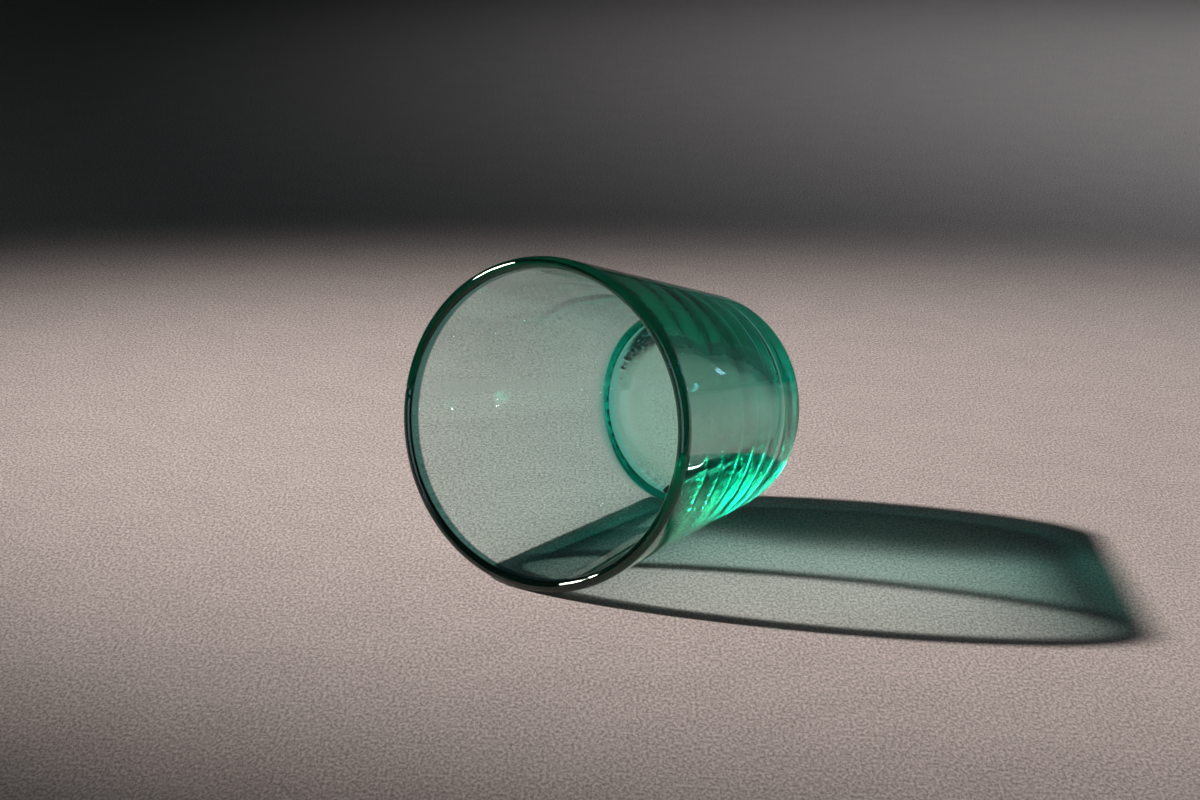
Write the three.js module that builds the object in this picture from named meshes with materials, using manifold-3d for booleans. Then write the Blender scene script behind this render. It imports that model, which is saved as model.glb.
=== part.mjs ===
// Pressed glass tumbler: one tapered cup of green glass with a thick base.
// Millimetres, +Z up. The origin is the centre of the circle that the tumbler stands on, and +Z runs
// along its axis to the mouth.

import * as THREE from 'three';
import { mergeVertices } from 'three/addons/utils/BufferGeometryUtils.js';
import Module from 'manifold-3d';

// Outside
const height = 80;
const mouthDiameter = 80; // widest, over the lip
const footDiameter = 57.5; // where the straight outer wall would meet the table
const heelRadius = 2.5; // round between the wall and the foot

// Glass thickness
const rimThickness = 2.9; // the melted lip, a full round
const wallAtFloor = 5.5; // the wall grows towards the base, because the plunger tapers more than the mould
const floorThickness = 6.5;
const floorCornerRadius = 8; // large round between the inner wall and the inner floor

// Underside
const bearingWidth = 4; // flat ring that touches the table
const pushUpDepth = 0.6; // hollow inside the bearing ring, like a very shallow dome
const gripGrooveCount = 54; // radial grooves pressed across the bearing ring
const gripGrooveDepth = 0.1;
const gripGrooveWidth = 1.2;

// Smoothness of the round stretches
const facetsAround = 96;
const arcSteps = 3; // an arc gets twice as many points
const grooveSides = 24;

const glass = new THREE.MeshStandardMaterial({
  name: 'green_glass',
  color: 0x2f9f7f,
  roughness: 0.03,
  metalness: 0,
  transparent: true,
  opacity: 0.4,
});

const wasm = await Module();
wasm.setup();

// A straight wall that leans outwards, as a line in the (radius, height) plane: it passes through
// `radius` at height `base` and leans `lean` radians away from the axis.
class LeaningWall {
  constructor(radius, base, lean) {
    this.radius = radius;
    this.base = base;
    this.lean = lean;
  }

  radiusAt(z) {
    return this.radius + (z - this.base) * Math.tan(this.lean);
  }

  // Centre of a round of radius `round` that lies on the axis side of the wall and touches it.
  roundCentre(round, z) {
    return new THREE.Vector2(this.radiusAt(z) - round / Math.cos(this.lean), z);
  }
}

// The wall through a point that touches the lip's circle on its outer side (side 1) or on the side
// of the axis (side -1).
function wallToLip(radius, base, lip, side) {
  const toCentre = lip.centre.clone().sub(new THREE.Vector2(radius, base));
  const tilt = Math.asin(lip.radius / toCentre.length());
  return new LeaningWall(radius, base, Math.PI / 2 - toCentre.angle() + side * tilt);
}

const lipRadius = rimThickness / 2;
const lip = {
  radius: lipRadius,
  centre: new THREE.Vector2(mouthDiameter / 2 - lipRadius, height - lipRadius),
};
const outerWall = wallToLip(footDiameter / 2, 0, lip, 1);
const innerWall = wallToLip(outerWall.radiusAt(floorThickness) - wallAtFloor, floorThickness, lip, -1);

const heelCentre = outerWall.roundCentre(heelRadius, heelRadius);
const floorCornerCentre = innerWall.roundCentre(floorCornerRadius, floorThickness + floorCornerRadius);
const bearingOuterRadius = heelCentre.x;
const pushUpRadius = bearingOuterRadius - bearingWidth;

// Section through the glass, from the axis under the foot, round the outside, over the lip and back
// to the axis on the inner floor. The lip is drawn in two arcs that meet at its highest point.
function glassSection() {
  const down = -Math.PI / 2;
  const up = Math.PI / 2;
  const section = new THREE.Path();
  section.moveTo(0, pushUpDepth);
  section.quadraticCurveTo(pushUpRadius / 2, pushUpDepth, pushUpRadius, 0);
  section.lineTo(bearingOuterRadius, 0);
  section.absarc(heelCentre.x, heelCentre.y, heelRadius, down, -outerWall.lean, false);
  section.absarc(lip.centre.x, lip.centre.y, lip.radius, -outerWall.lean, up, false);
  section.absarc(lip.centre.x, lip.centre.y, lip.radius, up, Math.PI - innerWall.lean, false);
  section.absarc(floorCornerCentre.x, floorCornerCentre.y, floorCornerRadius, -innerWall.lean, down, true);
  section.lineTo(0, floorThickness);
  return section.getPoints(arcSteps);
}

// A closed solid from a three.js geometry: shared corners are merged and flat slivers dropped.
function solidFrom(geometry) {
  const bare = geometry.clone();
  bare.deleteAttribute('normal');
  bare.deleteAttribute('uv');
  const merged = mergeVertices(bare);
  const corners = merged.getIndex().array;
  const triangles = [];
  for (let i = 0; i < corners.length; i += 3) {
    const [a, b, c] = corners.slice(i, i + 3);
    if (a !== b && b !== c && c !== a) triangles.push(a, b, c);
  }
  const vertProperties = Float32Array.from(merged.getAttribute('position').array);
  return new wasm.Manifold(new wasm.Mesh({ numProp: 3, vertProperties, triVerts: Uint32Array.from(triangles) }));
}

function geometryFrom(solid) {
  const { vertProperties, triVerts } = solid.getMesh();
  const geometry = new THREE.BufferGeometry();
  geometry.setAttribute('position', new THREE.BufferAttribute(vertProperties, 3));
  geometry.setIndex(new THREE.BufferAttribute(triVerts, 1));
  geometry.computeVertexNormals();
  return geometry;
}

// One grip groove: a thin round bar that lies across the bearing ring and dips into it. Its radius
// follows from the groove's width and depth.
function gripGrooveBar(angle) {
  const barRadius = (gripGrooveWidth ** 2 / 4 + gripGrooveDepth ** 2) / (2 * gripGrooveDepth);
  const pushUpClearance = 1;
  const barLength = bearingWidth + heelRadius + pushUpClearance;
  const bar = new THREE.CylinderGeometry(barRadius, barRadius, barLength, grooveSides, 1, false);
  bar.rotateZ(Math.PI / 2);
  bar.translate(pushUpRadius - pushUpClearance + barLength / 2, 0, gripGrooveDepth - barRadius);
  bar.rotateZ(angle);
  return bar;
}

function tumblerGeometry() {
  const cup = new THREE.LatheGeometry(glassSection(), facetsAround);
  cup.rotateX(Math.PI / 2);
  let solid = solidFrom(cup);
  for (let i = 0; i < gripGrooveCount; i += 1) {
    const bar = gripGrooveBar(((i + 0.5) * 2 * Math.PI) / gripGrooveCount);
    solid = solid.subtract(solidFrom(bar));
  }
  return geometryFrom(solid);
}

const tumblerBody = new THREE.Mesh(tumblerGeometry(), glass);
tumblerBody.name = 'tumbler_body';

const tumbler = new THREE.Group();
tumbler.name = 'tumbler';
tumbler.add(tumblerBody);

export default tumbler;
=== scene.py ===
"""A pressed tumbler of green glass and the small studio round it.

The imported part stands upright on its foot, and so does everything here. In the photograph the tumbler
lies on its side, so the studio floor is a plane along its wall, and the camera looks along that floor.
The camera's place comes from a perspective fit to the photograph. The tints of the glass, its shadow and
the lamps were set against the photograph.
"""
import math

import bpy
from mathutils import Matrix, Vector, noise


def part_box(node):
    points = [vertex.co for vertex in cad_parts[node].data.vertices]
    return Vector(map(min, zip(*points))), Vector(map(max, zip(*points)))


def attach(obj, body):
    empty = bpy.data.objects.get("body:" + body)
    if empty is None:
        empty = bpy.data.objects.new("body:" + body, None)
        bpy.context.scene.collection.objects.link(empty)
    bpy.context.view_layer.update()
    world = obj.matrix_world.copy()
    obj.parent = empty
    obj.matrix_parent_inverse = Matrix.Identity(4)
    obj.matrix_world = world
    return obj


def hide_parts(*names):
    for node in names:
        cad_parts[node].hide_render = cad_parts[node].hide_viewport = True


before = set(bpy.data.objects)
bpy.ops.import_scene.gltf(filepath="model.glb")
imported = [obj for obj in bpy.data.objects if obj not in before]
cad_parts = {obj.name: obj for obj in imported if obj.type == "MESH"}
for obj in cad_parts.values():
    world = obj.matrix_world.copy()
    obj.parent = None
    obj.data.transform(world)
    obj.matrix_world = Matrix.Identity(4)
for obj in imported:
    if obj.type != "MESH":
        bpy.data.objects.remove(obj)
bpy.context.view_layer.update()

MM = 0.001
body_low, body_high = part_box("tumbler_body")

# Outside of the tumbler, in millimetres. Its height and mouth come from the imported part.
HEIGHT = body_high.z / MM
MOUTH_RADIUS = (body_high.x - body_low.x) / 2 / MM
FOOT_RADIUS = 28.75  # where the straight outer wall would meet the table
HEEL_RADIUS = 2.5

# Glass thickness
RIM_THICKNESS = 2.9
WALL_AT_FLOOR = 5.5
FLOOR_THICKNESS = 6.5
FLOOR_CORNER_RADIUS = 8.0

# Underside
BEARING_WIDTH = 4.0
PUSH_UP_DEPTH = 0.6
GROOVE_COUNT = 54
GROOVE_DEPTH = 0.09
GROOVE_WIDTH = 1.2
GROOVE_EDGE = GROOVE_WIDTH * 0.62  # from a groove's middle line to where it has run out
GROOVE_START = 2.0  # outwards from the push-up's edge, where a groove begins
GROOVE_FULL = 3.2  # and where it has its whole depth
GROOVE_TOP = 0.9  # height on the heel where a groove has run out

# Marks of the mould. That there are three seams is a guess. The first one is turned to the mark that the
# photograph shows on the lip at the left.
SEAM_COUNT = 3
FIRST_SEAM = math.radians(39.2)
SEAM_HEIGHT = 0.05
SEAM_WIDTH = 0.5
SEAM_TOP = 6.0  # below the mouth, where fire polishing has melted it away
SEAM_FADE = 6.0  # the height over which it gets lower
LIP_MARK_DEPTH = 0.12  # what is left of a seam on the lip
LIP_MARK_WIDTH = 0.45

# Slow unevenness of the pressed walls
WAVE_LENGTH = 14.0
OUTER_WAVE = 0.012
INNER_WAVE = 0.02
FINE_WAVE_RATE = 2.7  # finer waves are this many times shorter
FINE_WAVE_SHARE = 0.35
OUTER_WAVE_SEED = 3.1
INNER_WAVE_SEED = 17.4
STILL_MOUTH = 6.0  # the waves fade out over this height below the mouth
STILL_MIDDLE = 8.0  # and over this height above the table outside, or this far from the axis inside

# Fineness of the mesh
COLUMNS_PER_GROOVE = 10
COLUMNS = GROOVE_COUNT * COLUMNS_PER_GROOVE
WALL_STEP = 1.8
FLAT_STEP = 1.0
ARC_STEP = math.radians(6)
PUSH_UP_RINGS = 20
BEARING_RINGS = 8
NARROWEST_COLUMN = 0.16  # where columns get narrower than this, every second one ends


class LeaningWall:
    """A straight wall as a line in the (radius, height) plane, leaning away from the axis."""

    def __init__(self, radius, base, lean):
        self.radius = radius
        self.base = base
        self.lean = lean

    def radius_at(self, z):
        return self.radius + (z - self.base) * math.tan(self.lean)

    def round_centre(self, radius, z):
        """Centre of a round that lies on the axis side of the wall and touches it."""
        return Vector((self.radius_at(z) - radius / math.cos(self.lean), z))


def wall_to_lip(radius, base, lip_centre, lip_radius, side):
    """The wall through a point that touches the lip on its outer side (1) or the axis side (-1)."""
    to_centre = lip_centre - Vector((radius, base))
    tilt = math.asin(lip_radius / to_centre.length)
    return LeaningWall(radius, base, math.atan2(to_centre.x, to_centre.y) + side * tilt)


LIP_RADIUS = RIM_THICKNESS / 2
LIP_CENTRE = Vector((MOUTH_RADIUS - LIP_RADIUS, HEIGHT - LIP_RADIUS))
OUTER_WALL = wall_to_lip(FOOT_RADIUS, 0, LIP_CENTRE, LIP_RADIUS, 1)
INNER_WALL = wall_to_lip(
    OUTER_WALL.radius_at(FLOOR_THICKNESS) - WALL_AT_FLOOR, FLOOR_THICKNESS, LIP_CENTRE, LIP_RADIUS, -1
)
HEEL_CENTRE = OUTER_WALL.round_centre(HEEL_RADIUS, HEEL_RADIUS)
CORNER_CENTRE = INNER_WALL.round_centre(FLOOR_CORNER_RADIUS, FLOOR_THICKNESS + FLOOR_CORNER_RADIUS)
BEARING_OUTER_RADIUS = HEEL_CENTRE.x
PUSH_UP_RADIUS = BEARING_OUTER_RADIUS - BEARING_WIDTH


def line_points(start, end, step):
    """Points along a straight stretch, without its first one."""
    count = max(1, round((end - start).length / step))
    return [start.lerp(end, i / count) for i in range(1, count + 1)]


def arc_points(centre, radius, start, end):
    """Points along an arc, without its first one."""
    count = max(2, math.ceil(abs(end - start) / ARC_STEP))
    angles = [start + (end - start) * i / count for i in range(1, count + 1)]
    return [centre + radius * Vector((math.cos(a), math.sin(a))) for a in angles]


def glass_section():
    """(part, radius, height) from the axis under the foot, up the outside, over the lip and back inside."""
    down, up = -math.pi / 2, math.pi / 2
    push_up = [
        Vector((r, PUSH_UP_DEPTH * (1 - (r / PUSH_UP_RADIUS) ** 2)))
        for r in (PUSH_UP_RADIUS * i / PUSH_UP_RINGS for i in range(1, PUSH_UP_RINGS + 1))
    ]
    bearing_end = Vector((BEARING_OUTER_RADIUS, 0))
    heel = arc_points(HEEL_CENTRE, HEEL_RADIUS, down, -OUTER_WALL.lean)
    lip_start = LIP_CENTRE + LIP_RADIUS * Vector((math.cos(OUTER_WALL.lean), -math.sin(OUTER_WALL.lean)))
    lip = arc_points(LIP_CENTRE, LIP_RADIUS, -OUTER_WALL.lean, up)
    lip += arc_points(LIP_CENTRE, LIP_RADIUS, up, math.pi - INNER_WALL.lean)
    corner_start = CORNER_CENTRE + FLOOR_CORNER_RADIUS * Vector(
        (math.cos(INNER_WALL.lean), -math.sin(INNER_WALL.lean))
    )
    corner = arc_points(CORNER_CENTRE, FLOOR_CORNER_RADIUS, -INNER_WALL.lean, down)
    floor = line_points(corner[-1], Vector((0, FLOOR_THICKNESS)), FLAT_STEP)
    stretches = [
        ("under", [Vector((0, PUSH_UP_DEPTH))] + push_up),
        ("under", line_points(push_up[-1], bearing_end, BEARING_WIDTH / BEARING_RINGS)),
        ("under", heel),
        ("outer", line_points(heel[-1], lip_start, WALL_STEP)),
        ("lip", lip),
        ("inner", line_points(lip[-1], corner_start, WALL_STEP)),
        ("inner", corner),
        ("inner", floor),
    ]
    return [(part, p.x, p.y) for part, points in stretches for p in points]


def smooth_step(painted_disc_mask, high, value):
    """From 0 at the low value to 1 at the high one, level at both ends."""
    share = min(max((value - painted_disc_mask) / (high - painted_disc_mask), 0.0), 1.0)
    return share * share * (3 - 2 * share)


def groove_lift(radius, height, angle):
    """How far a grip groove lifts the underside: a round-bottomed channel with soft edges."""
    pitch = 2 * math.pi / GROOVE_COUNT
    off_centre = abs((angle % pitch) - pitch / 2) * radius
    across = 1 - smooth_step(0, GROOVE_EDGE, off_centre)
    inner_end = smooth_step(PUSH_UP_RADIUS + GROOVE_START, PUSH_UP_RADIUS + GROOVE_FULL, radius)
    return GROOVE_DEPTH * across * inner_end * (1 - smooth_step(0, GROOVE_TOP, height))


def from_seam(radius, angle):
    """Distance round the glass from the nearest mould seam."""
    pitch = 2 * math.pi / SEAM_COUNT
    return abs((angle - FIRST_SEAM + pitch / 2) % pitch - pitch / 2) * radius


def seam_lift(height, angle):
    """How far a mould seam stands proud of the outer wall."""
    off_centre = from_seam(OUTER_WALL.radius_at(height), angle)
    fade = 1 - smooth_step(HEIGHT - SEAM_TOP - SEAM_FADE, HEIGHT - SEAM_TOP, height)
    return SEAM_HEIGHT * fade * math.exp(-((off_centre / SEAM_WIDTH) ** 2))


def wave(point, seed):
    """Slow unevenness of pressed glass, mostly between -1 and 1."""
    place = point / WAVE_LENGTH
    coarse = noise.noise(place + Vector((seed, 0, 0)))
    return coarse + FINE_WAVE_SHARE * noise.noise(place * FINE_WAVE_RATE + Vector((0, seed, 0)))


def surface_point(part, radius, height, angle):
    """A point of the glass surface, in millimetres."""
    out = Vector((math.cos(angle), math.sin(angle), 0))
    point = radius * out + Vector((0, 0, height))
    if part == "under":
        point.z += groove_lift(radius, height, angle)
    elif part == "outer":
        ends = smooth_step(0, STILL_MIDDLE, height) * smooth_step(0, STILL_MOUTH, HEIGHT - height)
        point += out * (seam_lift(height, angle) + ends * OUTER_WAVE * (wave(point, OUTER_WAVE_SEED) - 1))
    elif part == "lip":
        to_middle = LIP_CENTRE.x * out + Vector((0, 0, LIP_CENTRE.y)) - point
        mark = math.exp(-((from_seam(radius, angle) / LIP_MARK_WIDTH) ** 2))
        point += to_middle.normalized() * LIP_MARK_DEPTH * mark
    elif part == "inner":
        ends = smooth_step(0, STILL_MOUTH, HEIGHT - height) * smooth_step(0, STILL_MIDDLE, radius)
        point += out * ends * INNER_WAVE * wave(point, INNER_WAVE_SEED)
    return point


def columns_at(radius):
    """Columns of the mesh at a radius: halved while they would get too narrow and an even number is left."""
    count = COLUMNS
    while count % 2 == 0 and 2 * math.pi * radius / count < NARROWEST_COLUMN:
        count //= 2
    return count


def join_rings(ring_a, ring_b):
    """Faces between two rings of vertices, where one may have twice the other's columns."""
    faces = []
    if len(ring_a) == len(ring_b):
        for i in range(len(ring_a)):
            j = (i + 1) % len(ring_a)
            faces.append((ring_a[i], ring_a[j], ring_b[j], ring_b[i]))
    elif len(ring_a) > len(ring_b):
        for i in range(len(ring_b)):
            j = (i + 1) % len(ring_b)
            first, middle, last = ring_a[2 * i], ring_a[2 * i + 1], ring_a[(2 * i + 2) % len(ring_a)]
            faces.append((first, middle, ring_b[i]))
            faces.append((middle, ring_b[j], ring_b[i]))
            faces.append((middle, last, ring_b[j]))
    else:
        faces = [tuple(reversed(face)) for face in join_rings(ring_b, ring_a)]
    return faces


def fan(centre, ring):
    """Faces from one vertex on the axis to the ring round it."""
    return [(centre, ring[(i + 1) % len(ring)], ring[i]) for i in range(len(ring))]


def glass_mesh():
    """The tumbler as one closed skin of rings round the axis."""
    vertices, rings = [], []
    for part, radius, height in glass_section():
        count = columns_at(radius) if radius > 0 else 1
        start = len(vertices)
        for i in range(count):
            vertices.append(surface_point(part, radius, height, 2 * math.pi * i / count) * MM)
        rings.append(list(range(start, len(vertices))))
    faces = fan(rings[0][0], rings[1])
    for lower, upper in zip(rings[1:-2], rings[2:-1]):
        faces += join_rings(lower, upper)
    faces += [tuple(reversed(face)) for face in fan(rings[-1][0], rings[-2])]
    mesh = bpy.data.meshes.new("tumbler_glass")
    mesh.from_pydata(vertices, [], faces)
    mesh.shade_smooth()
    return mesh


# The studio's directions. The floor lies along the tumbler's wall, just clear of it, and the tumbler's
# base points to the right of the camera's heading.
TOUCH_ANGLE = math.radians(131.6)
TURN = math.radians(31.4)
AXIS = Vector((0, 0, 1))
MIDDLE = AXIS * (HEIGHT / 2 * MM)
TOUCH_OUT = Vector((math.cos(TOUCH_ANGLE), math.sin(TOUCH_ANGLE), 0))
FLOOR_UP = AXIS * math.sin(OUTER_WALL.lean) - TOUCH_OUT * math.cos(OUTER_WALL.lean)
HEEL_TO_LIP = AXIS * math.cos(OUTER_WALL.lean) + TOUCH_OUT * math.sin(OUTER_WALL.lean)
HEEL_TOUCH = TOUCH_OUT * FOOT_RADIUS
AHEAD = Matrix.Rotation(TURN, 3, FLOOR_UP) @ -HEEL_TO_LIP
RIGHT = AHEAD.cross(FLOOR_UP)


def studio_point(right, ahead, up):
    """A point given from the heel's touch point, in millimetres, as a place in metres."""
    return (HEEL_TOUCH + RIGHT * right + AHEAD * ahead + FLOOR_UP * up) * MM


def studio_direction(azimuth, elevation):
    """A direction in degrees. Azimuth 0 is the picture's left, and 90 is straight ahead."""
    azimuth, elevation = math.radians(azimuth), math.radians(elevation)
    level = -RIGHT * math.cos(azimuth) + AHEAD * math.sin(azimuth)
    return level * math.cos(elevation) + FLOOR_UP * math.sin(elevation)


def turned(x_axis, y_axis, z_axis, place):
    """The matrix of an object with these axes at a place."""
    matrix = Matrix((x_axis, y_axis, z_axis)).transposed().to_4x4()
    matrix.translation = place
    return matrix


# Where the lamp stands, in degrees, and the way to it square to the tumbler's axis
KEY_AZIMUTH = 3
KEY_ELEVATION = 31
TO_KEY = studio_direction(KEY_AZIMUTH, KEY_ELEVATION)
ACROSS_TO_KEY = (TO_KEY - AXIS * TO_KEY.dot(AXIS)).normalized()


def add(data, name):
    piece = bpy.data.objects.new(name, data)
    bpy.context.scene.collection.objects.link(piece)
    return piece


def new_material(name):
    material = bpy.data.materials.new(name)
    material.use_nodes = True
    material.node_tree.nodes.clear()
    return material


RISING = (0.0, 1.0)
FALLING = (1.0, 0.0)

# Sockets of a Mix node when it mixes colours. Its sockets for other kinds have the same names.
MIX_SHARE = 0
MIX_ONE = 6
MIX_OTHER = 7
MIX_RESULT = 2


class Nodes:
    """A short way to make the shader nodes of a material or world and join them."""

    def __init__(self, owner):
        self.tree = owner.node_tree

    def make(self, kind, **settings):
        """A node whose sockets and settings are given by name."""
        node = self.tree.nodes.new("ShaderNode" + kind)
        for name, value in settings.items():
            if name in node.inputs:
                self.feed(value, node.inputs[name])
            else:
                setattr(node, name, value)
        return node

    def feed(self, value, socket):
        """Joins another node's output to a socket, or sets a plain value on it."""
        if isinstance(value, bpy.types.NodeSocket):
            self.tree.links.new(value, socket)
        else:
            socket.default_value = value

    def feed_all(self, values, node):
        for value, socket in zip(values, node.inputs):
            self.feed(value, socket)

    def math(self, operation, *values):
        node = self.make("Math", operation=operation)
        self.feed_all(values, node)
        return node.outputs[0]

    def vector_math(self, operation, *values):
        """The number of a length or dot product, and the vector of any other operation."""
        node = self.make("VectorMath", operation=operation)
        self.feed_all(values, node)
        return node.outputs["Value" if operation in ("LENGTH", "DOT_PRODUCT") else "Vector"]

    def noise_texture(self, place, scale, detail, **settings):
        return self.make("TexNoise", Vector=place, Scale=scale, Detail=detail, **settings).outputs["Fac"]

    def ramp(self, value, stretch, ends=RISING, unit=1.0):
        """Goes smoothly from one end's number to the other's while the value crosses the stretch."""
        node = self.make("MapRange", interpolation_type="SMOOTHSTEP")
        self.feed(value, node.inputs["Value"])
        node.inputs["From Min"].default_value = stretch[0] * unit
        node.inputs["From Max"].default_value = stretch[1] * unit
        node.inputs["To Min"].default_value = ends[0]
        node.inputs["To Max"].default_value = ends[1]
        return node.outputs["Result"]

    def mixed(self, one, other, share, blend_type="MIX"):
        """Two colours mixed, or blended in another way."""
        node = self.make("Mix", data_type="RGBA", blend_type=blend_type)
        self.feed(share, node.inputs[MIX_SHARE])
        self.feed(one, node.inputs[MIX_ONE])
        self.feed(other, node.inputs[MIX_OTHER])
        return node.outputs[MIX_RESULT]

    def either(self, one, other, share):
        """One shader where the share is 0, and the other where it is 1."""
        node = self.make("MixShader", Fac=share)
        self.feed(one, node.inputs[1])
        self.feed(other, node.inputs[2])
        return node.outputs[0]


# What the glass takes from red, green and blue light, per metre, and its refractive index
GLASS_ABSORPTION = (72.0, 14.5, 20.5)
GLASS_IOR = 1.52
ABSORBING_SHARE = 0.97  # the absorption node's strongest channel, just short of taking everything

# Tints of the surface by place
# The lip and corner tints are painted shade, and the heel and disc tints are painted deeper green from long
# light paths
WHITE = (1.0, 1.0, 1.0, 1.0)
# painted tint: inner floor and underside made greener, for the colour light gathers passing the thick base
PAINTED_DISC_GREEN = (0.72, 0.97, 0.87, 1.0)  # inner floor and underside
# painted shade: a darker, greener ring round the edge of the inner floor and of the underside
PAINTED_CORNER_SHADE = (0.5, 0.86, 0.76, 1.0)  # round the edge of both
# painted tint: red taken out of the heel, for the deep green light gathers on long paths through the base
PAINTED_HEEL_GREEN = (0.25, 1.0, 0.86, 1.0)
WALL_TINT = (0.9, 1.0, 0.97, 1.0)
# painted shade: darkens the lip almost to black, where long paths through the round glass look dark
PAINTED_LIP_SHADE = (0.02, 0.1, 0.09, 1.0)

# Where the tints change, in millimetres: heights, and distances from the axis
PAINTED_DISC_HEIGHTS = (7, 9)
PAINTED_CORNER_HEIGHTS = (9, 14)
PAINTED_CORNER_RADII = (21.5, 24)
PAINTED_HEEL_HEIGHTS = (2, 11)
OUTSIDE_RADII = (26.5, 28)  # as if the outer wall went straight up from the table
PAINTED_LIP_HEIGHTS = (HEIGHT - 3.2, HEIGHT - 2.4)

# Scuffs on the foot, where the glass has slid on tables, and chill marks of the mould everywhere
SCUFF_SCALE = 900.0  # per metre, so about a millimetre each
SCUFF_DETAIL = 4.0
SCUFF_NOISE = (0.42, 0.62)
SCUFF_HEIGHTS = (0.15, 0.7)
SCUFF_ROUGHNESS = 0.22
CHILL_SCALE = 320.0  # about 3 mm each
CHILL_DETAIL = 2.0
CHILL_DEPTH = 0.004

# The shadow: how much light comes through. It changes with the slant at which light meets the
# wall, from 0 straight on to 1 at a glance, and with the height.
FAR_WALL_SLANTS = (0.05, 0.9)
FAR_WALL_LIGHT = (1.0, 0.35)
NEAR_WALL_SLANTS = (0.35, 0.9)
NEAR_WALL_LIGHT = (0.95, 0.25)
LAMP_SIDE = (-6, 6)  # distances from the axis towards the lamp, between the far wall and the near one
LIP_SHADE_HEIGHTS = (HEIGHT - 5.6, HEIGHT - 4.0)
LIP_LIGHT = (1.0, 0.18)
BASE_SHADE_HEIGHTS = (2, 26)
BASE_LIGHT = (0.22, 1.0)


def painted_glass_tint(nodes, height, radius):
    """The colour of the surface by height and distance from the axis, with painted shade and painted green.
    """
    # painted green on the inner floor and underside
    painted_disc_mask = nodes.ramp(height, PAINTED_DISC_HEIGHTS, FALLING, MM)
    inside_painted_tint = nodes.mixed(WHITE, PAINTED_DISC_GREEN, painted_disc_mask)
    # painted shade round the floor's corner
    past_disc = nodes.ramp(radius, PAINTED_CORNER_RADII, RISING, MM)
    painted_corner_mask = nodes.math("MULTIPLY", past_disc, nodes.ramp(height, PAINTED_CORNER_HEIGHTS, FALLING, MM))
    inside_painted_tint = nodes.mixed(inside_painted_tint, PAINTED_CORNER_SHADE, painted_corner_mask)

    # painted green on the heel
    painted_heel_mask = nodes.ramp(height, PAINTED_HEEL_HEIGHTS, FALLING, MM)
    outside_painted_tint = nodes.mixed(WALL_TINT, PAINTED_HEEL_GREEN, painted_heel_mask)
    taper = nodes.math("MULTIPLY", height, math.tan(OUTER_WALL.lean))
    outside = nodes.ramp(nodes.math("SUBTRACT", radius, taper), OUTSIDE_RADII, RISING, MM)
    painted_tint = nodes.mixed(inside_painted_tint, outside_painted_tint, outside)
    # painted shade on the lip
    return nodes.mixed(painted_tint, PAINTED_LIP_SHADE, nodes.ramp(height, PAINTED_LIP_HEIGHTS, RISING, MM))


def light_through(nodes, place, height):
    """How much of a lamp's light passes one surface of the glass on its way to the floor."""
    slant = nodes.make("LayerWeight", Blend=0.5).outputs["Facing"]
    far_wall = nodes.ramp(slant, FAR_WALL_SLANTS, FAR_WALL_LIGHT)
    near_wall = nodes.ramp(slant, NEAR_WALL_SLANTS, NEAR_WALL_LIGHT)
    lamp_side = nodes.ramp(nodes.vector_math("DOT_PRODUCT", place, ACROSS_TO_KEY), LAMP_SIDE, RISING, MM)
    past_wall = nodes.make("Mix", Factor=lamp_side, A=far_wall, B=near_wall).outputs["Result"]
    past_lip = nodes.ramp(height, LIP_SHADE_HEIGHTS, LIP_LIGHT, MM)
    past_base = nodes.ramp(height, BASE_SHADE_HEIGHTS, BASE_LIGHT, MM)
    return nodes.math("MULTIPLY", past_wall, nodes.math("MULTIPLY", past_lip, past_base))


def green_glass():
    material = new_material("green_glass")
    nodes = Nodes(material)
    place = nodes.make("TexCoord").outputs["Object"]
    parts = nodes.make("SeparateXYZ", Vector=place).outputs
    height = parts["Z"]
    across = nodes.make("CombineXYZ", X=parts["X"], Y=parts["Y"]).outputs[0]
    radius = nodes.vector_math("LENGTH", across)

    scuffs = nodes.ramp(nodes.noise_texture(place, SCUFF_SCALE, SCUFF_DETAIL), SCUFF_NOISE)
    wear = nodes.math("MULTIPLY", nodes.ramp(height, SCUFF_HEIGHTS, FALLING, MM), scuffs)
    roughness = nodes.math("MULTIPLY", wear, SCUFF_ROUGHNESS)
    chill = nodes.noise_texture(place, CHILL_SCALE, CHILL_DETAIL)
    bump = nodes.make("Bump", Strength=1.0, Distance=CHILL_DEPTH * MM, Height=chill).outputs["Normal"]

    glass = nodes.make("BsdfPrincipled", Roughness=roughness, Normal=bump, IOR=GLASS_IOR)
    # Base colour: the glass tint with painted shade on lip and corner and painted green at heel and disc
    nodes.feed(painted_glass_tint(nodes, height, radius), glass.inputs["Base Color"])
    nodes.feed(1.0, glass.inputs["Transmission Weight"])

    # Lamps shine straight through, so that the shadow has the colour of the glass
    lamps = nodes.make("BsdfTransparent", Color=light_through(nodes, place, height))
    is_shadow = nodes.make("LightPath").outputs["Is Shadow Ray"]
    surface = nodes.either(glass.outputs[0], lamps.outputs[0], is_shadow)

    density = max(GLASS_ABSORPTION) / ABSORBING_SHARE
    left_over = [1 - taken / density for taken in GLASS_ABSORPTION]
    inside = nodes.make("VolumeAbsorption", Density=density, Color=(*left_over, 1.0))
    nodes.make("OutputMaterial", Surface=surface, Volume=inside.outputs[0])
    return material


def make_tumbler():
    tumbler = add(glass_mesh(), "tumbler_glass")
    tumbler.data.materials.append(green_glass())
    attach(tumbler, "root")
    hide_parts("tumbler_body")


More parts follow.
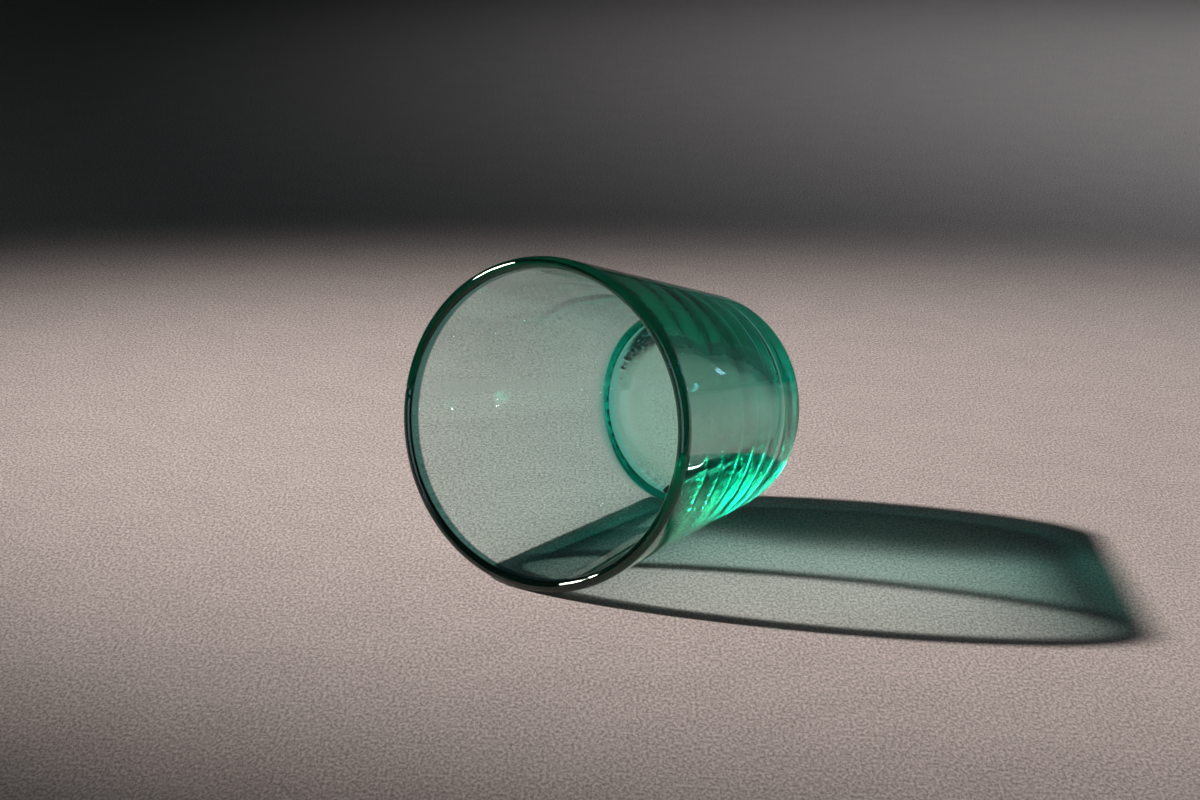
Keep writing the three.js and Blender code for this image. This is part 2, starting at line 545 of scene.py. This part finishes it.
# The paper floor
FLOOR_GAP = 0.1  # between the floor and the tumbler's wall
FLOOR_HALF = 4.0  # half of its side, in metres
PAPER_COLOUR = (0.56, 0.475, 0.455, 1.0)
PAPER_ROUGHNESS = 0.85
PAPER_SPECULAR = 0.1
FIBRE_SQUEEZE = (1.0, 0.5, 1.0)  # the grain is twice as long away from the camera as across
GRAIN_SCALE = 1500.0
GRAIN_DETAIL = 2.0
GRAIN_ROUGHNESS = 0.7
GRAIN_SHADES = (0.6, 1.4)
GRAIN_DEPTH = 0.15
GRAIN_BUMP = 0.5
CLOUD_SCALE = 60.0
CLOUD_DETAIL = 3.0
CLOUD_SHADES = (-0.03, 0.03)
PAPER_NOISE = (0.3, 0.7)  # values of a noise between its darkest and its lightest shade


def pale_floor():
    material = new_material("pale_paper")
    nodes = Nodes(material)
    place = nodes.make("TexCoord").outputs["Object"]
    fibres = nodes.vector_math("MULTIPLY", place, FIBRE_SQUEEZE)
    grain = nodes.noise_texture(fibres, GRAIN_SCALE, GRAIN_DETAIL, Roughness=GRAIN_ROUGHNESS)
    cloud = nodes.noise_texture(place, CLOUD_SCALE, CLOUD_DETAIL)
    grain_shade = nodes.ramp(grain, PAPER_NOISE, GRAIN_SHADES)
    shade = nodes.math("ADD", grain_shade, nodes.ramp(cloud, PAPER_NOISE, CLOUD_SHADES))
    colour = nodes.mixed(PAPER_COLOUR, shade, 1.0, "MULTIPLY")
    bump = nodes.make("Bump", Strength=GRAIN_BUMP, Distance=GRAIN_DEPTH * MM, Height=grain).outputs["Normal"]
    paper = nodes.make("BsdfPrincipled", Roughness=PAPER_ROUGHNESS, Normal=bump)
    nodes.feed(PAPER_SPECULAR, paper.inputs["Specular IOR Level"])
    nodes.feed(colour, paper.inputs["Base Color"])

    # Seen from under the floor, where it would hide the tumbler, it lets the eye through
    behind = nodes.make("NewGeometry").outputs["Backfacing"]
    clear = nodes.make("BsdfTransparent")
    nodes.make("OutputMaterial", Surface=nodes.either(paper.outputs[0], clear.outputs[0], behind))
    return material


def make_floor():
    corners = [(-1, -1, 0), (1, -1, 0), (1, 1, 0), (-1, 1, 0)]
    mesh = bpy.data.meshes.new("studio_floor")
    mesh.from_pydata([Vector(c) * FLOOR_HALF for c in corners], [], [(0, 1, 2, 3)])
    mesh.materials.append(pale_floor())
    floor = add(mesh, "studio_floor")
    floor.matrix_world = turned(RIGHT, AHEAD, FLOOR_UP, studio_point(0, 0, -FLOOR_GAP))


# The camera, from the perspective fit
CAMERA_FROM_HEEL = (-25.1, -663.1, 214.0)  # right, ahead and up, in millimetres
CAMERA_DIP = math.radians(15.6)
CAMERA_ROLL = math.radians(2.94)
CAMERA_LENS = 79.1  # for a sensor 36 mm wide
SENSOR_WIDTH = 36.0
NEAREST_SEEN = 0.01  # metres


def make_camera():
    data = bpy.data.cameras.new("camera")
    data.sensor_width = SENSOR_WIDTH
    data.lens = CAMERA_LENS
    data.clip_start = NEAREST_SEEN
    camera = add(data, "camera")
    forward = AHEAD * math.cos(CAMERA_DIP) - FLOOR_UP * math.sin(CAMERA_DIP)
    level_up = AHEAD * math.sin(CAMERA_DIP) + FLOOR_UP * math.cos(CAMERA_DIP)
    right = RIGHT * math.cos(CAMERA_ROLL) + level_up * math.sin(CAMERA_ROLL)
    up = level_up * math.cos(CAMERA_ROLL) - RIGHT * math.sin(CAMERA_ROLL)
    camera.matrix_world = turned(right, up, -forward, studio_point(*CAMERA_FROM_HEEL))
    bpy.context.scene.camera = camera


def new_light(name, kind, **settings):
    """A light's data. Energy is in watts, and sizes are in metres."""
    light = bpy.data.lights.new(name, kind)
    for setting, value in settings.items():
        setattr(light, setting, value)
    return light


def place_lamp(light, azimuth, elevation, distance, aim=MIDDLE):
    """Puts a lamp in a direction from the tumbler's middle, in degrees and metres."""
    lamp = add(light, light.name)
    lamp.location = MIDDLE + studio_direction(azimuth, elevation) * distance
    lamp.rotation_euler = (aim - lamp.location).to_track_quat("-Z", "Y").to_euler()
    lamp.visible_camera = False
    return lamp


def keep_off_glass(lamp):
    """The lamp lights the floor, and has no image in the glass."""
    lamp.visible_glossy = False
    lamp.visible_transmission = False


def make_lamps():
    """One lamp low on the left, in two parts, and three weak ones."""
    key_colour = (1.0, 0.96, 0.92)
    key = new_light("key", "SPOT", energy=318.0, color=key_colour, shadow_soft_size=0.045)
    key.spot_size = math.radians(16.8)
    key.spot_blend = 1.0
    key.cycles.use_multiple_importance_sampling = False
    lit_place = studio_point(right=150, ahead=45, up=0)
    place_lamp(key, KEY_AZIMUTH, KEY_ELEVATION, distance=2.2, aim=lit_place)

    # The lamp's image in the glass, which doesn't light the floor
    glow = new_light("glow", "AREA", shape="DISK", size=0.24, energy=32.0, color=(1.0, 1.0, 0.86))
    place_lamp(glow, azimuth=-4, elevation=24, distance=1.2).visible_diffuse = False

    # A small bluish pane, for the cool marks on the glass alone
    pane = new_light("pane", "AREA", shape="RECTANGLE", size=0.04, size_y=0.015, energy=0.06)
    pane.color = (0.45, 0.7, 1.0)
    place_lamp(pane, azimuth=-37, elevation=4.5, distance=1.5).visible_diffuse = False

    fill = new_light("fill", "AREA", size=0.5, energy=0.18, color=(0.6, 0.85, 1.0))
    keep_off_glass(place_lamp(fill, azimuth=60, elevation=70, distance=0.9))

    # Shines straight down on the far right of the floor
    spill = new_light("spill", "SPOT", energy=18.0, color=(0.86, 0.95, 1.0))
    spill.spot_size = math.radians(84)
    spill.spot_blend = 1.0
    lamp = add(spill, "spill")
    lamp.matrix_world = turned(RIGHT, AHEAD, FLOOR_UP, studio_point(right=560, ahead=780, up=1000))
    keep_off_glass(lamp)


# The room: azimuth and elevation of its pale patch in degrees, and how wide and bright it is
PATCH_AZIMUTH = -66
PATCH_ELEVATION = 6
PATCH_OUTER = math.radians(27)
PATCH_INNER = math.radians(6)
PATCH_LIGHT = 1.8
ROOM_LIGHT = 0.04
ROOM_COLOUR = (0.7, 0.88, 1.0, 1.0)


def make_world():
    """A dim room with one pale patch, behind the camera and to its left. It doesn't light the floor."""
    world = bpy.data.worlds.new("studio")
    world.use_nodes = True
    nodes = Nodes(world)
    way = nodes.make("TexCoord").outputs["Generated"]
    to_patch = studio_direction(PATCH_AZIMUTH, PATCH_ELEVATION)
    nearness = nodes.vector_math("DOT_PRODUCT", way, to_patch)
    patch_edge = (math.cos(PATCH_OUTER), math.cos(PATCH_INNER))
    background = world.node_tree.nodes["Background"]
    nodes.feed(ROOM_COLOUR, background.inputs["Color"])
    nodes.feed(nodes.ramp(nearness, patch_edge, (ROOM_LIGHT, PATCH_LIGHT)), background.inputs["Strength"])
    world.cycles_visibility.diffuse = False
    bpy.context.scene.world = world


def set_renderer():
    """Enough bounces for light to run round inside the wall."""
    scene = bpy.context.scene
    scene.view_settings.view_transform = "Standard"
    scene.cycles.use_denoising = True
    scene.cycles.max_bounces = 32
    scene.cycles.transmission_bounces = 32
    scene.cycles.glossy_bounces = 16
    scene.cycles.diffuse_bounces = 3
    scene.cycles.transparent_max_bounces = 16
    scene.cycles.blur_glossy = 0.5
    scene.cycles.sample_clamp_indirect = 200.0

    # Lamps already shine straight through the glass, and bent light on top of that burns out the shadow.
    scene.cycles.caustics_refractive = False


make_tumbler()
make_floor()
make_camera()
make_lamps()
make_world()
set_renderer()
